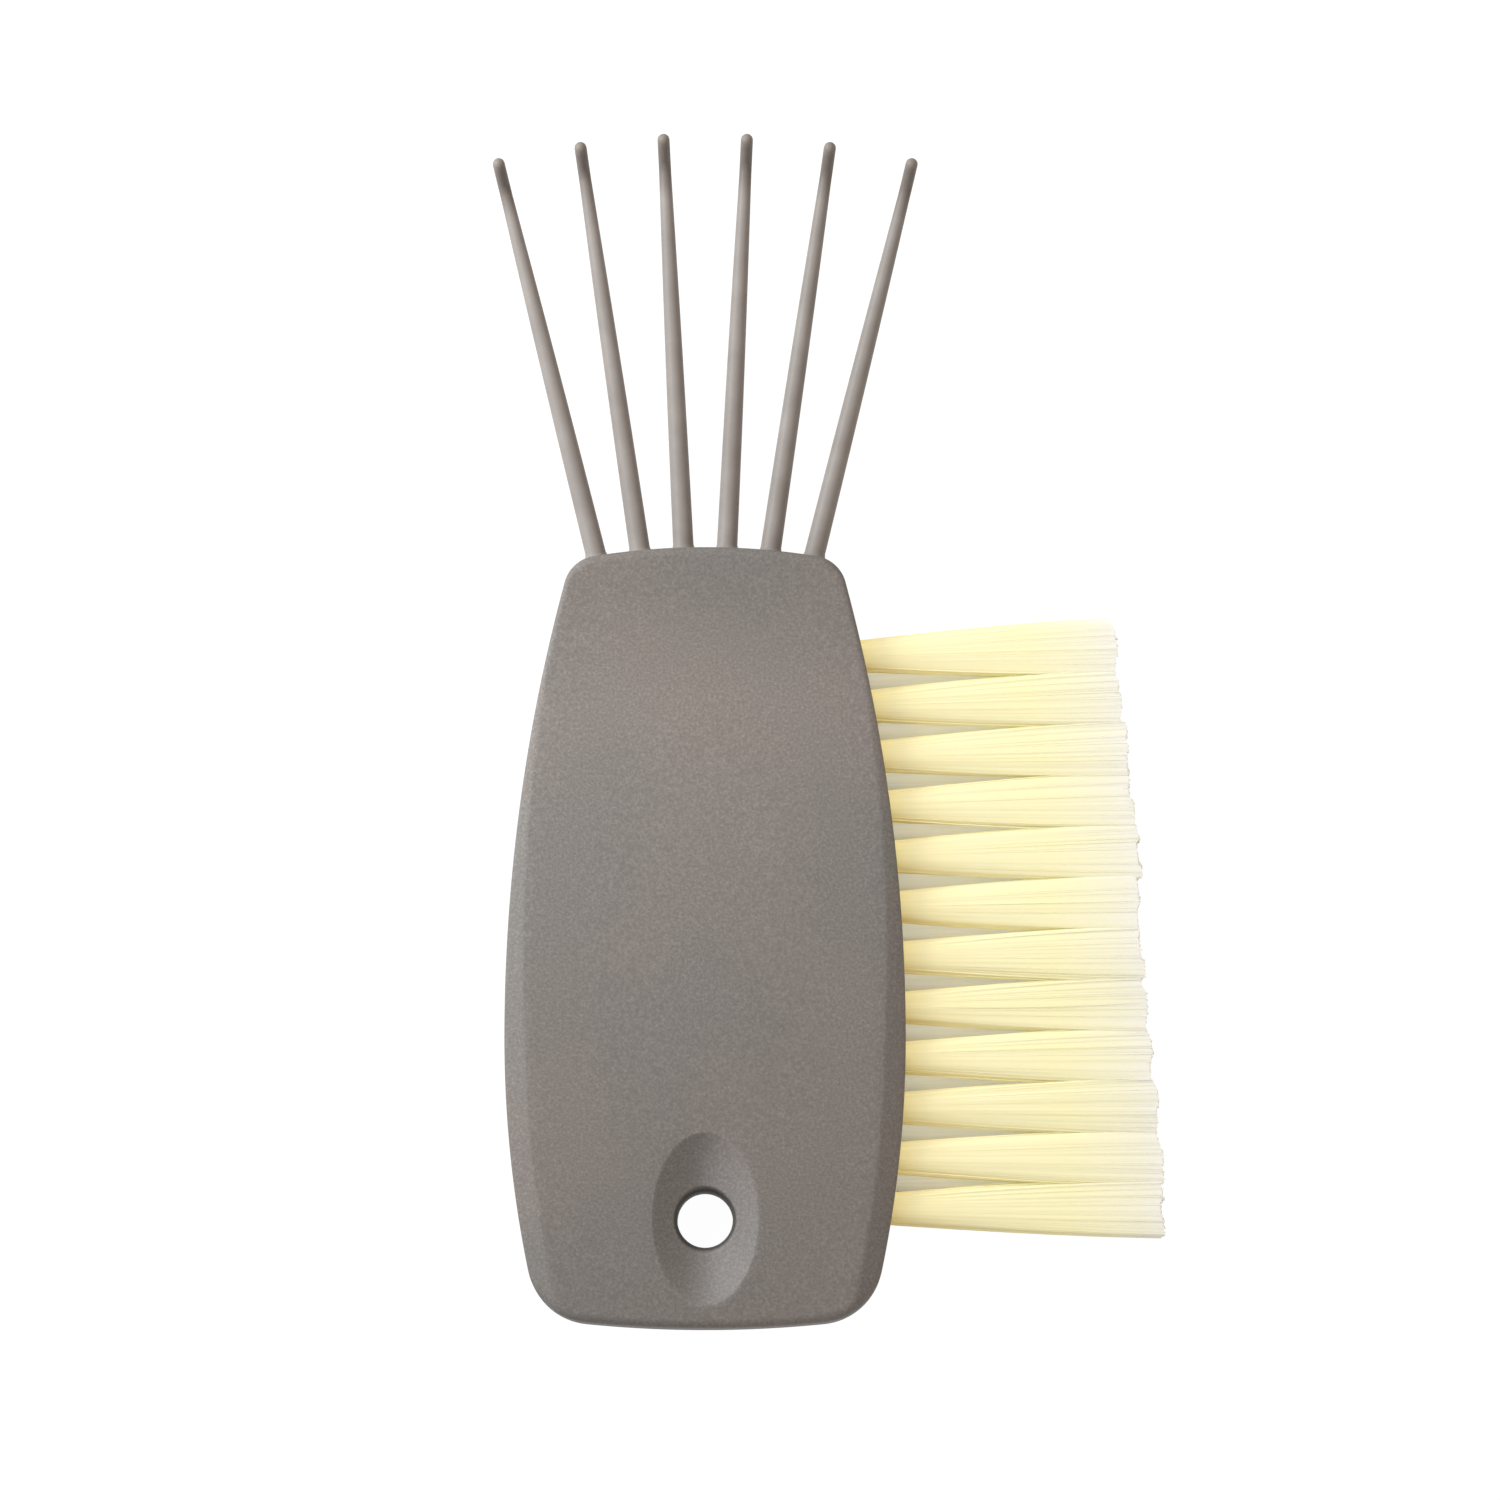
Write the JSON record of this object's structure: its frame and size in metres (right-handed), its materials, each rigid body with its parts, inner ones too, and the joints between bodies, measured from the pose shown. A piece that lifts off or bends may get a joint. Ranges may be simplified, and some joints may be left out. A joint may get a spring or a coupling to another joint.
{
  "type": "brush cleaning rake",
  "caption": "Hand tool for pulling hair out of brushes: flat handle with a hanging hole, a fan of hooked tines at the top and a bristle strip along one side.",
  "frame": {"origin": "middle of the handle's flat back, which the tool lies on", "axes": "+Y from the handle towards the tines, +X towards the bristles, +Z out of the moulded front face"},
  "size_m": [0.0708, 0.1254, 0.013],
  "materials": {
    "handle_plastic": "matte, fine grain",
    "rake_plastic": "satin",
    "block_plastic": "matte",
    "bristle_nylon": "drawn filament, pale cream with a yellow root",
    "anchor_steel": "bare flat wire"
  },
  "bodies": {
    "root": {"handle_front_shell": "handle_plastic", "handle_back_shell": "handle_plastic", "tine_rake": "rake_plastic", "bristle_block": "block_plastic", "upper_tuft_01": "bristle_nylon", "upper_tuft_02": "bristle_nylon", "upper_tuft_03": "bristle_nylon", "upper_tuft_04": "bristle_nylon", "upper_tuft_05": "bristle_nylon", "upper_tuft_06": "bristle_nylon", "upper_tuft_07": "bristle_nylon", "upper_tuft_08": "bristle_nylon", "upper_tuft_09": "bristle_nylon", "upper_tuft_10": "bristle_nylon", "upper_tuft_11": "bristle_nylon", "upper_tuft_12": "bristle_nylon", "lower_tuft_01": "bristle_nylon", "lower_tuft_02": "bristle_nylon", "lower_tuft_03": "bristle_nylon", "lower_tuft_04": "bristle_nylon", "lower_tuft_05": "bristle_nylon", "lower_tuft_06": "bristle_nylon", "lower_tuft_07": "bristle_nylon", "lower_tuft_08": "bristle_nylon", "lower_tuft_09": "bristle_nylon", "lower_tuft_10": "bristle_nylon", "lower_tuft_11": "bristle_nylon", "upper_anchor_01": "anchor_steel", "upper_anchor_02": "anchor_steel", "upper_anchor_03": "anchor_steel", "upper_anchor_04": "anchor_steel", "upper_anchor_05": "anchor_steel", "upper_anchor_06": "anchor_steel", "upper_anchor_07": "anchor_steel", "upper_anchor_08": "anchor_steel", "upper_anchor_09": "anchor_steel", "upper_anchor_10": "anchor_steel", "upper_anchor_11": "anchor_steel", "upper_anchor_12": "anchor_steel", "lower_anchor_01": "anchor_steel", "lower_anchor_02": "anchor_steel", "lower_anchor_03": "anchor_steel", "lower_anchor_04": "anchor_steel", "lower_anchor_05": "anchor_steel", "lower_anchor_06": "anchor_steel", "lower_anchor_07": "anchor_steel", "lower_anchor_08": "anchor_steel", "lower_anchor_09": "anchor_steel", "lower_anchor_10": "anchor_steel", "lower_anchor_11": "anchor_steel"}
  },
  "joints": []
}
